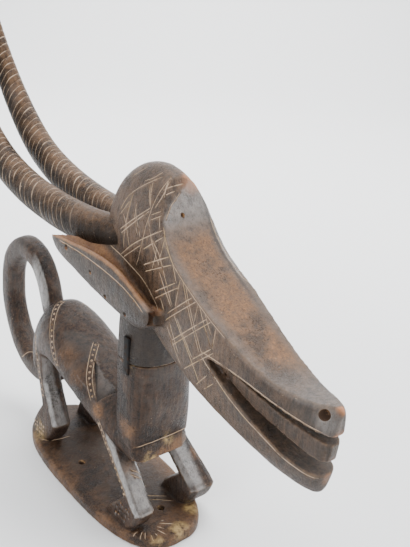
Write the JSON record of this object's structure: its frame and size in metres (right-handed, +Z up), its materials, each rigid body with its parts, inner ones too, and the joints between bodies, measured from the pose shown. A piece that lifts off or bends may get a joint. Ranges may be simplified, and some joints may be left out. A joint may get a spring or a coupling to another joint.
{
  "type": "chiwara headdress",
  "caption": "Carved wooden antelope crest lying on folded legs on an oval plinth, with a looped tail, swept ringed horns, long ears and an open mouth.",
  "frame": {"origin": "centre of the plinth's underside", "axes": "+Z up, -Y towards the muzzle, +X to the animal's own left"},
  "size_m": [0.0858, 0.5213, 0.431],
  "materials": {
    "body_wood": "dark patinated wood, satin with wear",
    "head_wood": "dark patinated wood, satin, incised and worn",
    "iron": "dark forged iron, dull"
  },
  "bodies": {
    "root": {"body_with_plinth": "body_wood", "head_with_horns": "head_wood", "iron_staple_right": "iron", "iron_staple_left": "iron"}
  },
  "joints": []
}
